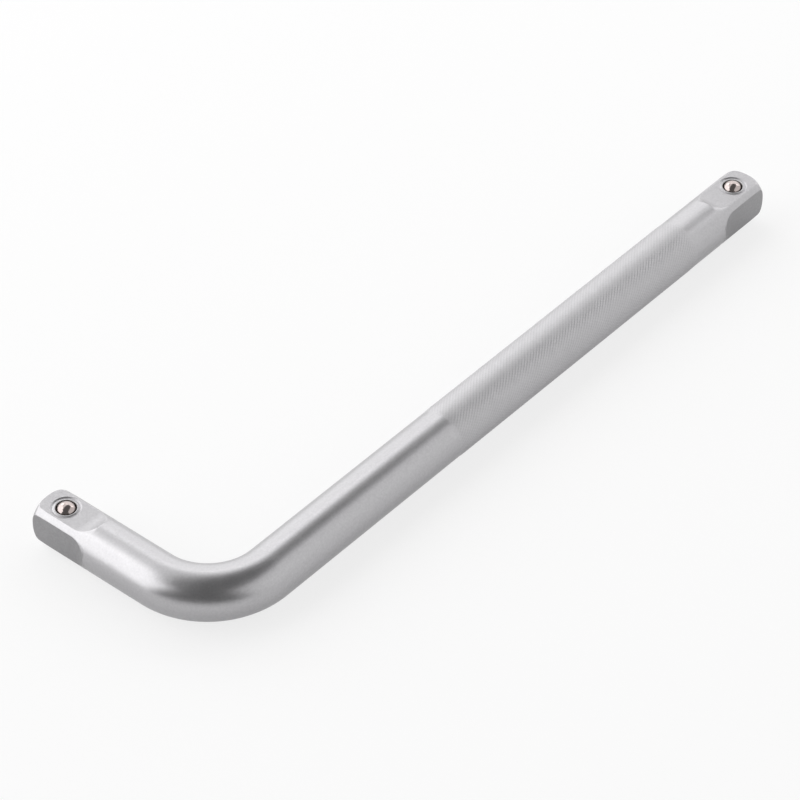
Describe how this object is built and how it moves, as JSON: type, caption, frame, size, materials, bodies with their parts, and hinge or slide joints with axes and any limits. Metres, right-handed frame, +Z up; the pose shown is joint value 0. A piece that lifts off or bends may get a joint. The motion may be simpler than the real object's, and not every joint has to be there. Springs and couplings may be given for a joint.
{
  "type": "l-handle socket wrench",
  "caption": "L-shaped round steel bar handle with a knurled grip and a square socket drive with a sprung detent ball on each end.",
  "frame": {"origin": "middle of the bounding box, at the surface that the wrench lies on", "axes": "+X along the long arm towards its tip, +Y along the short arm towards its tip, +Z up, out of the two flats that hold the detent balls"},
  "size_m": [0.248, 0.0714, 0.0162],
  "materials": {
    "satin_chrome": "satin chrome plate, finely blasted",
    "polished_ball": "polished hardened steel",
    "spring_steel": "drawn spring wire"
  },
  "bodies": {
    "wrench": {"handle_bar": "satin_chrome", "short_end_spring": "spring_steel", "long_end_spring": "spring_steel"},
    "short_ball": {"short_end_ball": "polished_ball"},
    "long_ball": {"long_end_ball": "polished_ball"}
  },
  "joints": [
    {"name": "short_ball_press", "type": "slide", "parent": "wrench", "child": "short_ball", "axis": [0, 0, -1], "range_m": [0, 0.0014], "stiffness_N_per_m": 2500, "deforming": ["short_end_spring"]},
    {"name": "long_ball_press", "type": "slide", "parent": "wrench", "child": "long_ball", "axis": [0, 0, -1], "range_m": [0, 0.0014], "stiffness_N_per_m": 2500, "deforming": ["long_end_spring"]}
  ]
}
